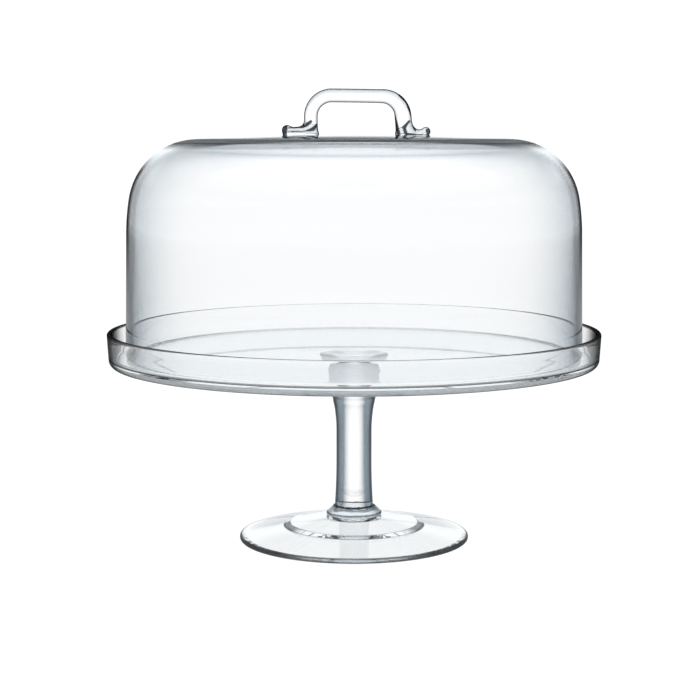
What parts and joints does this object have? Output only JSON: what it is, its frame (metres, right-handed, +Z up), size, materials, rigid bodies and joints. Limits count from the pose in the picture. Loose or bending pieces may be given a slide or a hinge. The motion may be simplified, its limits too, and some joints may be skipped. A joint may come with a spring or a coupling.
{
  "type": "cake stand dome",
  "caption": "Clear glass pedestal cake stand with a flat rimmed tray and a straight-sided glass dome that lifts off by its arched handle.",
  "frame": {"origin": "centre of the foot's resting ring, on the table surface", "axes": "+Z up along the stand's axis; the dome handle's arch lies in the XZ plane, with X along its bar"},
  "size_m": [0.3048, 0.3048, 0.28],
  "materials": {
    "clear_glass": "polished"
  },
  "bodies": {
    "stand": {"foot": "clear_glass", "stem_collar": "clear_glass", "stem": "clear_glass", "tray": "clear_glass"},
    "dome": {"dome_shell": "clear_glass", "dome_handle": "clear_glass"}
  },
  "joints": [
    {"name": "dome_lift", "type": "slide", "parent": "stand", "child": "dome", "axis": [0, 0, 1], "range_m": [0, 0.2]}
  ]
}
